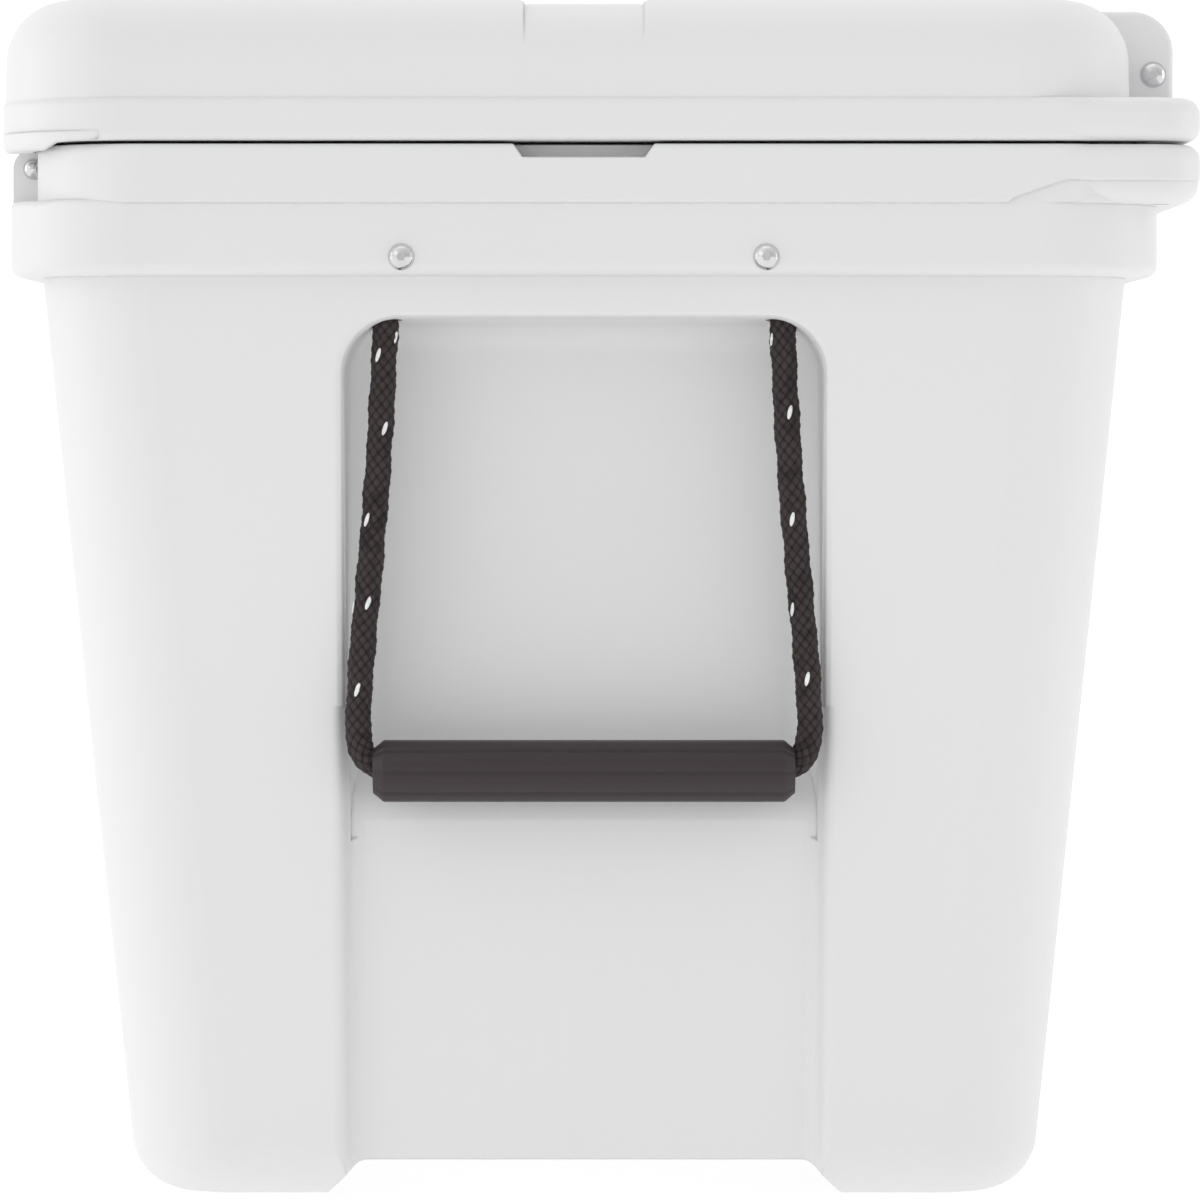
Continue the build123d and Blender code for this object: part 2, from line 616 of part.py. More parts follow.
def rope_route():
    """The rope's points, from the top of one leg through the grip to the top of the other."""
    one = [(MIDDLE_Y + y, z) for y, z in ROPE_HALF_ROUTE]
    other = [(MIDDLE_Y - y, z) for y, z in reversed(ROPE_HALF_ROUTE)]
    return one + [(MIDDLE_Y, ROPE_MIDDLE_Z)] + other


def rope_radii(points):
    """Each arc as large as its two runs allow, and the tight fold at each end of the grip."""
    radii = []
    vectors = [Vector(*point) for point in points]
    for before, here, after in zip(vectors, vectors[1:], vectors[2:]):
        turn = radians((here - before).get_angle(after - here))
        shorter = min((here - before).length, (after - here).length)
        widest = 0.45 * shorter / tan(turn / 2)
        radii.append(ROPE_FOLD_R if turn > 1 else widest)
    return radii


def handle_rope(side):
    points = rope_route()
    radii = rope_radii(points)
    plane = Plane(origin=(side * ROPE_X, 0, 0), x_dir=(0, 1, 0), z_dir=(1, 0, 0))
    path = plane * FilletPolyline(*points, radius=radii)
    start = Plane(origin=path @ 0, z_dir=path % 0)
    rope = sweep(start * Circle(ROPE_R), path=path)
    print("rope radii", [round(radius, 1) for radius in radii])
    print("rope length", round(path.length, 1), "volume", round(rope.volume))
    print("section times length", round(3.14159265 * ROPE_R**2 * path.length))
    return rope


def handle_grip(side):
    """The ribbed tube that the rope runs through, with flared mouths."""
    ribbed = RegularPolygon(GRIP_R, GRIP_FLAT_COUNT)
    bar = extrude(Plane.XZ * ribbed, GRIP_HALF, both=True)
    ends = Cylinder(GRIP_R + 1, 2 * GRIP_HALF)
    ends = chamfer(ends.edges().filter_by(GeomType.CIRCLE), 4.6)
    bar = bar & Rot(90, 0, 0) * ends
    bore = Rot(90, 0, 0) * Cylinder(ROPE_R + 0.3, 2 * GRIP_HALF + 10)
    for end in (-1, 1):
        flare = Pos(0, end * (GRIP_HALF - 4), 0) * Rot(-90 * end, 0, 0) * Cone(ROPE_R + 0.3, 8.8, 8)
        bore = bore + flare
    return Pos(side * ROPE_X, MIDDLE_Y, GRIP_Z) * (bar - bore)


def rope_anchors(side):
    """The two moulded-in blocks at one end, bored for the rope's ends and the screws."""
    made = []
    for leg in (-1, 1):
        anchor = anchor_block(side, leg)
        rope_z = (ANCHOR_Z - 20, ROPE_HALF_ROUTE[0][1] + 0.4)
        hole = Pos(side * ROPE_X, MIDDLE_Y + leg * ROPE_HOLE_Y, sum(rope_z) / 2)
        anchor = anchor - hole * Cylinder(ROPE_HOLE_R, rope_z[1] - rope_z[0])
        screw_x = sorted((side * (ANCHOR_X - 6), side * (HALF_LENGTH + 5)))
        made.append(anchor - rod_x(screw_x, MIDDLE_Y + leg * SCREW_Y, SCREW_Z, SCREW_R))
    return Compound(children=made)


def rope_screws():
    made = []
    for _, side in SIDES:
        for leg in (-1, 1):
            length = BELT_HALF_X - ANCHOR_X + 6
            screw = Pos(BELT_HALF_X, MIDDLE_Y + leg * SCREW_Y, SCREW_Z) * domed_screw(length)
            made.append(facing(side, screw))
    return Compound(children=made)


def foot_pad(side_x, side_y):
    """One rubber pad, with a step that its screw's head sinks into."""
    pad = pad_recess(side_x, side_y)
    pad = fillet(pad.faces().sort_by(Axis.Z)[0].edges(), 0.4)
    middle = Pos(side_x * PAD_X, MIDDLE_Y + side_y * PAD_Y, 0)
    return pad - middle * Cylinder(2, 20) - middle * Pos(0, 0, 1) * Cylinder(4.2, 3)


def foot_screws():
    made = []
    for side_x in (-1, 1):
        for side_y in (-1, 1):
            screw = Pos(0, 0, 1.6) * Cylinder(4, 1.8) + Pos(0, 0, 10) * Cylinder(2, 16)
            socket = Pos(0, 0, 0.7) * Box(1, 4, 1.4) + Pos(0, 0, 0.7) * Box(4, 1, 1.4)
            made.append(Pos(side_x * PAD_X, MIDDLE_Y + side_y * PAD_Y, 0) * (screw - socket))
    return Compound(children=made)


def drain_housing():
    """The flanged tube through the wall."""
    housing = rod_x((289, DRAIN_FLANGE_X[1]), MIDDLE_Y, DRAIN_Z, DRAIN_BARREL_R)
    housing = housing + rod_x(DRAIN_FLANGE_X, MIDDLE_Y, DRAIN_Z, DRAIN_FLANGE_R)
    return housing - rod_x((280, 340), MIDDLE_Y, DRAIN_Z, DRAIN_BORE_R)


def drain_nut():
    """The hexagonal lock nut inside the food space."""
    nut = extrude(Plane.YZ * RegularPolygon(17.5, 6), 6)
    nut = nut - rod_x((-1, 7), 0, 0, DRAIN_BARREL_R)
    return Pos(291.5, MIDDLE_Y, DRAIN_Z) * nut


def drain_washer():
    """The sealing washer on the plug's stem."""
    x_range = (DRAIN_FLANGE_X[1] + 0.3, DRAIN_FLANGE_X[1] + 0.3 + WASHER_THICK)
    return rod_x(x_range, MIDDLE_Y, DRAIN_Z, 13) - rod_x((320, 340), MIDDLE_Y, DRAIN_Z, DRAIN_BORE_R)


def drain_plug():
    """The screw plug, with a knurled cap and a bar to turn it by."""
    cap_x = DRAIN_FLANGE_X[1] + 0.6 + WASHER_THICK
    cap = rod_x((cap_x, cap_x + 6), 0, 0, 17)
    cap = fillet(cap.faces().sort_by(Axis.X)[-1].edges(), 1.5)
    for step in range(12):
        notch = Rot(30 * step, 0, 0) * Pos(cap_x + 3, 17.6, 0) * Rot(0, 90, 0) * Cylinder(1.6, 8)
        cap = cap - notch
    bar = slab((cap_x + 5, cap_x + 12), (-13, 13), (-3, 3), 2)
    stem = rod_x((296, cap_x + 1), 0, 0, DRAIN_BORE_R - ROD_CLEARANCE)
    for groove in range(6):
        ring = rod_x((300 + 4 * groove, 302 + 4 * groove), 0, 0, 12)
        stem = stem - (ring - rod_x((290, 330), 0, 0, DRAIN_BORE_R - 1.2))
    return Pos(0, MIDDLE_Y, DRAIN_Z) * (cap + bar + stem)


def main():
    os.makedirs("parts", exist_ok=True)
    core = body_foam()
    save(core, "body_foam")
    save(body_shell(core), "body_shell")
    lid_core = lid_foam()
    save(lid_core, "lid_foam")
    save(lid_shell(lid_core), "lid_shell")
    save(gasket_ring(GASKET_Z), "lid_gasket")
    for name, side in SIDES:
        save(hinge_rod(side), f"hinge_rod_{name}")
        save(latch(side), f"latch_{name}")
        save(latch_pin(side), f"latch_pin_{name}")
        save(latch_pin_screw(side), f"latch_pin_screw_{name}")
        save(handle_rope(side), f"handle_rope_{name}")
        save(handle_grip(side), f"handle_grip_{name}")
        save(rope_anchors(side), f"rope_anchors_{name}")
        save(foot_pad(side, -1), f"foot_pad_front_{name}")
        save(foot_pad(side, 1), f"foot_pad_rear_{name}")
    save(rope_screws(), "rope_screws")
    save(foot_screws(), "foot_screws")
    save(drain_housing(), "drain_housing")
    save(drain_nut(), "drain_nut")
    save(drain_washer(), "drain_washer")
    save(drain_plug(), "drain_plug")


main()
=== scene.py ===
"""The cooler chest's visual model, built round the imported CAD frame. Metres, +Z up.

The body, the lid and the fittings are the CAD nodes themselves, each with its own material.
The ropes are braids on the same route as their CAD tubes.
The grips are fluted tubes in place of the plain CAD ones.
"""

import math

import bmesh
import bpy
import numpy as np
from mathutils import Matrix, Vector


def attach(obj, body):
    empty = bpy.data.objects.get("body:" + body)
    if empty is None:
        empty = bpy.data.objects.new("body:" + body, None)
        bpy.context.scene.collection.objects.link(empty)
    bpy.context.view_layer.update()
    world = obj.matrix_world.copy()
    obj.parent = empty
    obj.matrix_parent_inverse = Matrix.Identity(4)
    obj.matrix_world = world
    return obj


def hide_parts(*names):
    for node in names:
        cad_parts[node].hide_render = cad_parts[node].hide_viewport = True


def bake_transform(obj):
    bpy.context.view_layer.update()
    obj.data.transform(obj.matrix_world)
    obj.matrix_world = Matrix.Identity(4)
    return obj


MM = 0.001
SIDES = (("left", -1), ("right", 1))

# The camera looks at the middle of the -X end, from a little above it.
CAMERA_AT = (-2.8875, 0.0, 0.321)
CAMERA_AIM = (-0.3875, 0.0, 0.2519)
FIELD_OF_VIEW = math.radians(11.19)
DIM_WAY = (-0.8, -0.6, 0.0)  # where the studio is darkest
FLOOR_RADIUS = 9.0
FLOOR_BELOW = 0.0005  # keeps the floor clear of the pads

# The rope's route, as in the CAD source: (distance from the middle of the end, height) in mm.
MIDDLE_Y = 6.6
ROPE_X, ROPE_R = 362.0, 5.5
ROPE_HALF_ROUTE = ((80.8, 387.0), (83.2, 326.0), (88.0, 266.0), (92.9, 216.0), (93.6, 181.2), (60.0, 180.7))
ROPE_MIDDLE_Z = 180.3
ROPE_PIVOT_Z = 358.0
ROPE_AROUND = 72  # points round the rope
ROPE_BEND_HALF = 9.0  # a span this far above and below the pivot; the rope is not bent there
BRAID_STRANDS = 8  # each way round
BRAID_PITCH = 40.0
BRAID_DEPTH = 0.9

# The white tracer yarns: a spindle each, a little proud of the braid, and where each shows.
# A place is (length along the rope in mm, angle in degrees from the end's outward normal).
TRACER_LENGTH, TRACER_WIDTH, TRACER_DEPTH = 6.2, 1.9, 0.45
TRACER_SUNK = 0.1
TRACER_LEAN = math.radians(-15)
TRACERS_REAR_LEG = ((27, -58), (35, 26), (65, -21), (103, 32), (137, -8), (139.5, 82), (173, 8))
TRACERS_FRONT_LEG = ((29, -63), (58.6, 13), (103, -9), (140, -48), (169, -4))
TRACERS_BEHIND = ((22, 150), (60, 205), (96, 165), (132, 200), (168, 155))

# Half of the grip's section, from its chamfered end to its bore: (distance from its middle in mm,
# radius in mm, how much of the flutes' depth shows there).
GRIP_Z, GRIP_R, GRIP_BORE_R = 180.6, 13.0, 5.8
GRIP_STRAIGHT_HALF = 40.0
GRIP_END = (
    (82.2, GRIP_R, 1.0),
    (82.9, 12.8, 0.9),
    (86.4, 9.75, 0.25),
    (86.85, 9.45, 0.0),
    (87.0, 9.2, 0.0),
    (86.8, 8.75, 0.0),
    (86.2, 8.4, 0.0),
    (79.0, GRIP_BORE_R, 0.0),
)
GRIP_RIBS = 8
POINTS_PER_RIB = 24


# ---------------------------------------------------------------- camera, floor and light


def link(obj):
    bpy.context.scene.collection.objects.link(obj)
    return obj


def make_camera():
    data = bpy.data.cameras.new("camera")
    data.sensor_width = 36.0
    data.lens = data.sensor_width / 2 / math.tan(FIELD_OF_VIEW / 2)
    camera = link(bpy.data.objects.new("camera", data))
    camera.location = CAMERA_AT
    camera.rotation_mode = "QUATERNION"
    camera.rotation_quaternion = (Vector(CAMERA_AIM) - Vector(CAMERA_AT)).to_track_quat("-Z", "Y")
    bpy.context.scene.camera = camera


def area_light(name, at, aim, size, power):
    data = bpy.data.lights.new(name, "AREA")
    data.shape = "RECTANGLE"
    data.size, data.size_y = size
    data.energy = power
    lamp = link(bpy.data.objects.new(name, data))
    lamp.location = at
    lamp.rotation_mode = "QUATERNION"
    lamp.rotation_quaternion = (Vector(aim) - Vector(at)).to_track_quat("-Z", "Y")


def make_world():
    """A white room that is dimmer to the front right, so that recesses shade softly from the left."""
    world = bpy.data.worlds.new("studio")
    world.use_nodes = True
    bpy.context.scene.world = world
    tree = world.node_tree
    place = tree.nodes.new("ShaderNodeTexCoord")
    toward = tree.nodes.new("ShaderNodeVectorMath")
    toward.operation = "DOT_PRODUCT"
    toward.inputs[1].default_value = DIM_WAY
    level = tree.nodes.new("ShaderNodeMapRange")
    level.inputs["From Min"].default_value = 0.0
    level.inputs["To Min"].default_value = 1.06
    level.inputs["To Max"].default_value = 0.62
    tree.links.new(place.outputs["Generated"], toward.inputs[0])
    tree.links.new(toward.outputs["Value"], level.inputs["Value"])
    tree.links.new(level.outputs["Result"], tree.nodes["Background"].inputs["Strength"])
    tree.nodes["Background"].inputs["Color"].default_value = (1.0, 1.0, 1.0, 1.0)


def make_studio():
    bpy.context.scene.view_settings.view_transform = "Standard"
    make_world()
    area_light("key", (-1.9, 1.9, 1.6), (-0.3, 0, 0.25), (1.2, 1.2), 1.5)
    area_light("rear strip", (-0.2, 2.2, 0.5), (-0.3, 0.2, 0.25), (0.6, 1.6), 5)
    area_light("front strip", (-0.2, -2.2, 0.5), (-0.3, -0.2, 0.25), (0.6, 1.6), 4.5)
    area_light("top", (0.0, 0.0, 2.4), (0, 0, 0.4), (2.0, 1.4), 2)
    bpy.ops.mesh.primitive_circle_add(vertices=96, radius=FLOOR_RADIUS, fill_type="NGON")
    floor = bpy.context.object
    floor.name = "floor"
    floor.location.z = -FLOOR_BELOW
    floor.data.materials.append(floor_material())


# ---------------------------------------------------------------- materials


class Nodes:
    """A new material's node tree, with a short way to add and join nodes."""

    def __init__(self, name):
        self.material = bpy.data.materials.new(name)
        self.material.use_nodes = True
        self.tree = self.material.node_tree
        self.shader = self.tree.nodes["Principled BSDF"]

    def add(self, kind, inputs=(), **settings):
        node = self.tree.nodes.new(kind)
        for key, value in settings.items():
            setattr(node, key, value)
        for key, value in dict(inputs).items():
            self.put(node.inputs[key], value)
        return node

    def put(self, socket, value):
        if isinstance(value, bpy.types.NodeSocket):
            self.tree.links.new(value, socket)
        else:
            socket.default_value = value

    def place(self):
        """Where a point is on its piece at rest."""
        return self.add("ShaderNodeTexCoord").outputs["Object"]

    def noise(self, scale, detail=2.0, where=None, rough=0.5):
        values = {"Scale": scale, "Detail": detail, "Roughness": rough, "Vector": where or self.place()}
        return self.add("ShaderNodeTexNoise", values).outputs["Fac"]

    def stretched(self, factors):
        """The place, scaled differently along each axis."""
        return self.add("ShaderNodeMapping", {"Vector": self.place(), "Scale": factors}).outputs["Vector"]

    def ramp(self, value, stops):
        """A colour that follows a value. stops are (position, colour)."""
        node = self.add("ShaderNodeValToRGB", {"Fac": value})
        elements = node.color_ramp.elements
        while len(elements) < len(stops):
            elements.new(0.5)
        for element, (position, colour) in zip(elements, stops):
            element.position = position
            element.color = (*colour, 1.0)
        return node.outputs["Color"]

    def spread(self, value, low, high):
        """A value from 0 to 1, moved to run from low to high."""
        return self.add("ShaderNodeMapRange", {"Value": value, "To Min": low, "To Max": high}).outputs["Result"]

    def bump(self, height, distance, strength=1.0, under=None):
        values = {"Height": height, "Distance": distance, "Strength": strength}
        if under is not None:
            values["Normal"] = under
        return self.add("ShaderNodeBump", values).outputs["Normal"]

    def soft_edges(self, radius):
        """Normals that round off the sharp edges between a moulding's faces."""
        return self.add("ShaderNodeBevel", {"Radius": radius}, samples=4).outputs["Normal"]

    def shade(self, **inputs):
        for key, value in inputs.items():
            self.put(self.shader.inputs[key.replace("_", " ")], value)
        return self.material


def tints(colour, amount):
    """A colour a little darker and a little lighter, as the two ends of a ramp."""
    darker = tuple(c * (1 - amount) for c in colour)
    lighter = tuple(min(1, c * (1 + amount)) for c in colour)
    return ((0.35, darker), (0.65, lighter))


def shell_material():
    """White polyethylene: a satin face with the fine grain and faint waves of a rotomoulding."""
    n = Nodes("shell")
    waves = n.noise(9.0, 3.0)
    grain = n.noise(1500.0, 3.0, rough=0.6)
    under = n.bump(waves, 0.0012, 0.2, n.soft_edges(0.0016))
    return n.shade(
        Base_Color=n.ramp(n.noise(5.0, 4.0), tints((0.79, 0.79, 0.795), 0.006)),
        Roughness=n.spread(n.noise(240.0, 4.0), 0.36, 0.5),
        Normal=n.bump(grain, 0.00012, 0.35, under),
        Specular_IOR_Level=0.45,
    )


def plain_plastic(name, colour, rough, grain_scale=1200.0, depth=0.0001, vary=0.05):
    n = Nodes(name)
    return n.shade(
        Base_Color=n.ramp(n.noise(60.0, 5.0), tints(colour, vary)),
        Roughness=n.spread(n.noise(300.0, 3.0), rough - 0.06, rough + 0.08),
        Normal=n.bump(n.noise(grain_scale, 3.0, rough=0.6), depth, 0.5),
        Specular_IOR_Level=0.45,
    )


def rubber_material(name, colour):
    n = Nodes(name)
    dust = n.noise(35.0, 6.0, rough=0.65)
    return n.shade(
        Base_Color=n.ramp(dust, tints(colour, 0.22)),
        Roughness=n.spread(dust, 0.55, 0.75),
        Normal=n.bump(n.noise(900.0, 4.0, rough=0.6), 0.00015, 0.6),
        Specular_IOR_Level=0.35,
    )


def steel_material():
    """Polished stainless steel with fine turning marks and a few wipes."""
    n = Nodes("steel")
    wipes = n.noise(1.0, 4.0, n.stretched((90.0, 700.0, 700.0)))
    return n.shade(
        Base_Color=n.ramp(n.noise(150.0, 3.0), tints((0.68, 0.68, 0.69), 0.05)),
        Metallic=1.0,
        Roughness=n.spread(wipes, 0.1, 0.2),
        Normal=n.bump(wipes, 0.00003, 0.4),
    )


def foam_material():
    n = Nodes("foam")
    cells = n.add("ShaderNodeTexVoronoi", {"Vector": n.place(), "Scale": 650.0}).outputs["Distance"]
    return n.shade(
        Base_Color=n.ramp(n.noise(25.0, 4.0), tints((0.78, 0.68, 0.42), 0.08)),
        Roughness=0.9,
        Normal=n.bump(cells, 0.0006, 0.8),
    )


def rope_material():
    """Dark brown polyester: the yarns run along each strand, and the valleys between the strands carry painted
    shade.
    """
    n = Nodes("rope")
    across = n.add("ShaderNodeAttribute", attribute_name="across").outputs["Fac"]
    height = n.add("ShaderNodeAttribute", attribute_name="height").outputs["Fac"]
    turns = n.add("ShaderNodeMath", {0: across, 1: 25.0}, operation="MULTIPLY").outputs["Value"]
    yarns = n.add("ShaderNodeMath", {0: turns}, operation="SINE").outputs["Value"]
    patches = n.noise(160.0, 3.0)
    browns = ((0.35, (0.034, 0.025, 0.026)), (0.52, (0.062, 0.047, 0.049)), (0.7, (0.046, 0.038, 0.033)))
    hue = n.ramp(patches, browns)
    # painted shade: the brown is darkened where the braid is low, between the strands
    painted_valley_shade = n.ramp(height, ((0.1, (0.24, 0.24, 0.24)), (0.8, (1.0, 1.0, 1.0))))
    brown_with_painted_shade = n.add("ShaderNodeMix", data_type="RGBA", blend_type="MULTIPLY")
    n.put(brown_with_painted_shade.inputs[0], 1.0)
    n.put(brown_with_painted_shade.inputs[6], hue)
    n.put(brown_with_painted_shade.inputs[7], painted_valley_shade)
    fuzz = n.bump(n.noise(2600.0, 3.0, rough=0.7), 0.00025, 0.7)
    return n.shade(
        Base_Color=brown_with_painted_shade.outputs[2],
        Roughness=n.spread(patches, 0.62, 0.8),
        Normal=n.bump(yarns, 0.00012, 0.6, fuzz),
        Sheen_Weight=0.05,
        Specular_IOR_Level=0.2,
    )


def tracer_material():
    n = Nodes("rope_tracer")
    return n.shade(
        Base_Color=n.ramp(n.noise(700.0, 3.0), ((0.3, (0.7, 0.69, 0.68)), (0.6, (0.92, 0.92, 0.92)))),
        Roughness=n.spread(n.noise(300.0, 3.0), 0.5, 0.65),
        Normal=n.bump(n.noise(1.0, 2.0, n.stretched((5000.0, 5000.0, 500.0))), 0.0001, 0.6),
        Sheen_Weight=0.1,
    )


def grip_material():
    """Dark brown-grey plastic with faint lengthwise flow marks."""
    n = Nodes("grip")
    flow = n.noise(1.0, 4.0, n.stretched((700.0, 18.0, 700.0)), rough=0.6)
    return n.shade(
        Base_Color=n.ramp(flow, tints((0.041, 0.031, 0.0335), 0.06)),
        Roughness=n.spread(flow, 0.44, 0.52),
        Normal=n.bump(n.noise(1600.0, 3.0), 0.00008, 0.5, n.bump(flow, 0.00005, 0.3)),
        Specular_IOR_Level=0.32,
    )


def floor_material():
    n = Nodes("floor")
    return n.shade(
        Base_Color=n.ramp(n.noise(2.0, 3.0), tints((0.36, 0.36, 0.36), 0.01)),
        Roughness=0.9,
        Emission_Color=(1.0, 1.0, 1.0, 1.0),
        Emission_Strength=0.72,
        Specular_IOR_Level=0.1,
    )


# ---------------------------------------------------------------- mesh helpers


def mesh_object(name, points, faces):
    mesh = bpy.data.meshes.new(name)
    mesh.from_pydata([tuple(p) for p in points], [], faces)
    mesh.validate()
    mesh.polygons.foreach_set("use_smooth", [True] * len(mesh.polygons))
    mesh.update()
    return link(bpy.data.objects.new(name, mesh))


def ring_faces(rings, around, closed_along=False):
    """Quads between rings of points, each ring a closed loop."""
    faces = []
    for i in range(rings if closed_along else rings - 1):
        a, b = i * around, (i + 1) % rings * around
        for j in range(around):
            k = (j + 1) % around
            faces.append((a + j, a + k, b + k, b + j))
    return faces


def capped_tube_faces(rings, around):
    """The faces of a tube of rings, with a flat face at each end."""
    last = (rings - 1) * around
    ends = [tuple(reversed(range(around))), tuple(range(last, last + around))]
    return ring_faces(rings, around) + ends


def outward(obj):
    """Turns a closed mesh's faces outwards."""
    work = bmesh.new()
    work.from_mesh(obj.data)
    bmesh.ops.recalc_face_normals(work, faces=work.faces)
    work.to_mesh(obj.data)
    work.free()


# ---------------------------------------------------------------- rope and grip


def rope_line(side):
    """The rope's centreline: its points every half millimetre, and the way it runs at each."""
    one = [(MIDDLE_Y + y, z) for y, z in ROPE_HALF_ROUTE]
    other = [(MIDDLE_Y - y, z) for y, z in reversed(ROPE_HALF_ROUTE)]
    route = one + [(MIDDLE_Y, ROPE_MIDDLE_Z)] + other
    curve = bpy.data.curves.new("rope_route", "CURVE")
    curve.dimensions = "3D"
    curve.resolution_u = 48
    spline = curve.splines.new("NURBS")
    spline.points.add(len(route) - 1)
    for point, (y, z) in zip(spline.points, route):
        point.co = (side * ROPE_X * MM, y * MM, z * MM, 1.0)
    spline.order_u = 3
    spline.use_endpoint_u = True
    bare = bpy.data.objects.new("rope_route", curve)
    mesh = bpy.data.meshes.new_from_object(bare)
    line = np.array([v.co for v in mesh.vertices], float)
    bpy.data.objects.remove(bare)
    along = np.concatenate([[0], np.cumsum(np.linalg.norm(np.diff(line, axis=0), axis=1))])
    at = np.linspace(0, along[-1], int(along[-1] / (0.5 * MM)) + 1)
    line = np.stack([np.interp(at, along, line[:, k]) for k in range(3)], axis=1)
    way = np.gradient(line, axis=0)
    way /= np.linalg.norm(way, axis=1)[:, None]
    return line, way, at / MM


def braid(angle, along):
    """The braid's surface at an angle and a length in mm: height and place across the top strand."""
    turn = BRAID_STRANDS * angle / (2 * math.pi)
    run = BRAID_STRANDS * along / BRAID_PITCH
    a, b = turn + run, turn - run
    first = (np.floor(a) + np.floor(b)) % 2 < 1
    across = np.where(first, a - np.floor(a), b - np.floor(b)) - 0.5
    lengthwise = np.where(first, b - np.floor(b), a - np.floor(a)) - 0.5
    height = np.sqrt(np.clip(1 - (2 * across) ** 2 * 0.96, 0, 1)) * (1 - (2 * np.abs(lengthwise)) ** 3 * 0.75)
    return height, across


def rope_tube(side, line, way, along):
    """The braided rope's points, faces and surface values, and the way it faces sideways at each ring."""
    end_face = np.array([side, 0.0, 0.0])
    sideways = np.cross(way, end_face)
    angles = np.arange(ROPE_AROUND) * 2 * math.pi / ROPE_AROUND
    height, across = braid(angles[None, :], along[:, None])
    uneven = 0.22 * np.sin(along[:, None] / 2.9 + angles) + 0.15 * np.sin(along[:, None] / 5.3 - 2 * angles)
    radius = (ROPE_R - BRAID_DEPTH * (1 - height) + uneven) * MM
    direction = np.cos(angles)[None, :, None] * end_face + np.sin(angles)[None, :, None] * sideways[:, None, :]
    points = list((line[:, None, :] + direction * radius[:, :, None]).reshape(-1, 3))
    values = {"height": height.reshape(-1), "across": across.reshape(-1)}
    return points, capped_tube_faces(len(line), ROPE_AROUND), values, sideways


def tracer(centre, way, out, beside):
    """One white yarn that shows on the rope: a spindle along way, as rings and its two ends."""
    rings, around = 7, 8
    points = []
    for i in range(rings):
        t = -0.94 + 1.88 * i / (rings - 1)
        full = math.sqrt(1 - t * t)
        for j in range(around):
            turn = 2 * math.pi * j / around
            sideways = math.cos(turn) * TRACER_WIDTH * MM / 2 * full
            proud = math.sin(turn) * TRACER_DEPTH * MM * full
            points.append(centre + way * (t * TRACER_LENGTH * MM / 2) + beside * sideways + out * proud)
    return points, capped_tube_faces(rings, around)


def tracer_places(length):
    """Where the tracer yarns show on a rope of this length in mm."""
    places = list(TRACERS_REAR_LEG + TRACERS_BEHIND)
    return places + [(length - s, degrees) for s, degrees in TRACERS_FRONT_LEG + TRACERS_BEHIND]


def make_rope(name, side):
    line, way, along = rope_line(side)
    points, faces, values, sideways = rope_tube(side, line, way, along)
    dark_faces = len(faces)
    end_face = np.array([side, 0.0, 0.0])
    for s, degrees in tracer_places(along[-1]):
        i = int(np.searchsorted(along, s))
        turn = math.radians(degrees)
        out = math.cos(turn) * end_face + math.sin(turn) * sideways[i]
        over = np.cross(out, way[i])
        run = math.cos(TRACER_LEAN) * way[i] + math.sin(TRACER_LEAN) * over
        centre = line[i] + out * (ROPE_R - TRACER_SUNK) * MM
        more, more_faces = tracer(centre, run, out, np.cross(out, run))
        start = len(points)
        points += more
        faces += [tuple(start + v for v in face) for face in more_faces]
    rope = mesh_object(f"rope_{name}", points, faces)
    for key, value in values.items():
        full = np.ones(len(points), np.float32)
        full[: len(value)] = value
        attribute = rope.data.attributes.new(key, "FLOAT", "POINT")
        attribute.data.foreach_set("value", full)
    rope.data.materials.append(MATERIALS["rope"])
    rope.data.materials.append(MATERIALS["tracer"])
    index = np.zeros(len(rope.data.polygons), np.int32)
    index[dark_faces:] = 1
    rope.data.polygons.foreach_set("material_index", index)
    start = Vector((side * ROPE_X, 0, ROPE_PIVOT_Z + ROPE_BEND_HALF)) * MM
    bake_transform(rope)
    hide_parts(f"handle_rope_{name}")


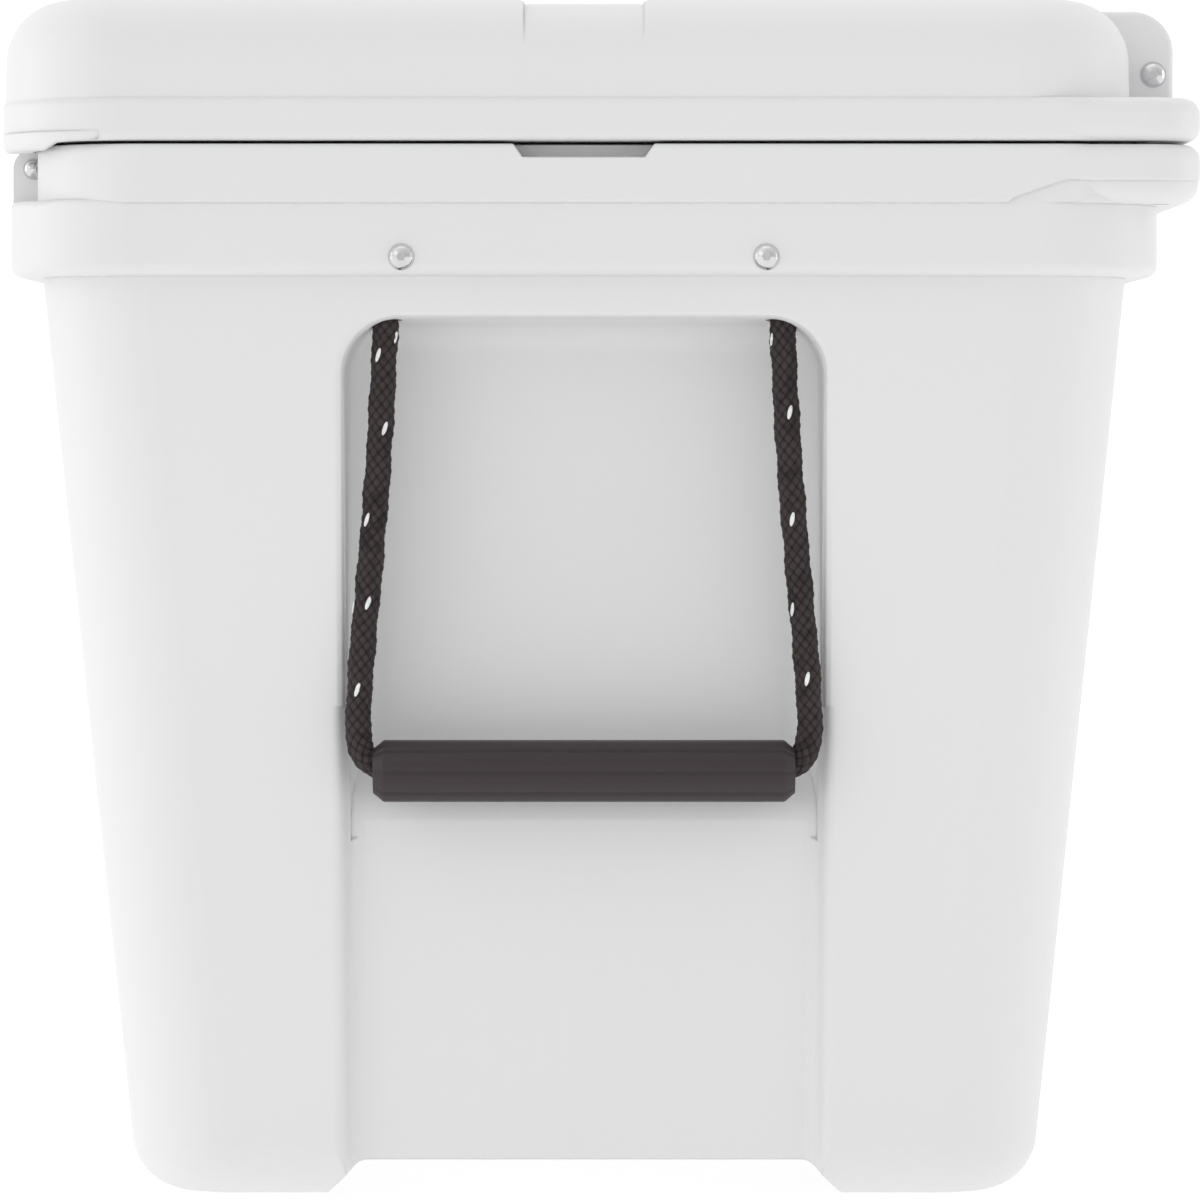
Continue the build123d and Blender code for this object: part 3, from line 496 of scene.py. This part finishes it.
def make_grip(name, side):
    """The fluted tube between the rope's legs, with chamfered ends and flared mouths."""
    half = (*GRIP_END, (GRIP_STRAIGHT_HALF, GRIP_BORE_R, 0.0))
    loop = [*half, *((-y, r, f) for y, r, f in reversed(half))]
    loop += [(-GRIP_STRAIGHT_HALF, GRIP_R, 1.0), (GRIP_STRAIGHT_HALF, GRIP_R, 1.0)]
    around = GRIP_RIBS * POINTS_PER_RIB
    angles = np.arange(around) * 2 * math.pi / around
    place = angles * GRIP_RIBS / (2 * math.pi)
    off = (place - np.round(place)) * 360 / GRIP_RIBS
    flute = -0.75 * np.exp(-((off / 3.4) ** 2)) - 0.18 * np.cos(np.radians(off * GRIP_RIBS)) - 0.1
    points = []
    for y, r, f in loop:
        ring = r + flute * f
        for turn, radius in zip(angles, ring):
            x = side * ROPE_X + side * math.cos(turn) * radius
            z = GRIP_Z + math.sin(turn) * radius
            points.append((x * MM, (MIDDLE_Y + y) * MM, z * MM))
    faces = ring_faces(len(loop), around, closed_along=True)
    grip = mesh_object(f"grip_{name}", points, faces)
    outward(grip)
    grip.data.materials.append(MATERIALS["grip"])
    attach(grip, f"handle_{name}")
    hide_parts(f"handle_grip_{name}")


# ---------------------------------------------------------------- finishes of the CAD nodes

FINISH = {
    "body_shell": "shell",
    "lid_shell": "shell",
    "body_foam": "foam",
    "lid_foam": "foam",
    "lid_gasket": "seal",
    "hinge_rod": "steel",
    "latch_pin": "steel",
    "latch": "latch",
    "rope_anchors": "fitting",
    "rope_screws": "steel",
    "foot_pad": "pad",
    "foot_screws": "steel",
    "drain_washer": "seal",
    "drain": "fitting",
}


def finish_of(node):
    matches = [key for key in FINISH if node.startswith(key)]
    return FINISH[max(matches, key=len)] if matches else None


def dress_nodes(nodes):
    for name, node in nodes.items():
        finish = finish_of(name)
        if finish:
            node.data.materials.clear()
            node.data.materials.append(MATERIALS[finish])


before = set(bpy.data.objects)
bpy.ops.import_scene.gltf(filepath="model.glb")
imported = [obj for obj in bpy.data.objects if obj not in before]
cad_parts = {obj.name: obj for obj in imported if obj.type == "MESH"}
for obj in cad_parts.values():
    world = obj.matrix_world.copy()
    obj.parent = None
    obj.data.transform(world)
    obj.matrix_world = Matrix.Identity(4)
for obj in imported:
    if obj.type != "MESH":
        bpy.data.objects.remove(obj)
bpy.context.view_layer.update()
make_camera()
MATERIALS = {
    "shell": shell_material(),
    "foam": foam_material(),
    "rope": rope_material(),
    "tracer": tracer_material(),
    "grip": grip_material(),
    "steel": steel_material(),
    "fitting": plain_plastic("fitting", (0.78, 0.785, 0.79), 0.4),
    "seal": rubber_material("seal", (0.6, 0.6, 0.6)),
    "pad": rubber_material("pad", (0.55, 0.55, 0.55)),
    "latch": rubber_material("latch", (0.035, 0.032, 0.032)),
}
for label, way_out in SIDES:
    make_rope(label, way_out)
    make_grip(label, way_out)
dress_nodes(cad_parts)
make_studio()
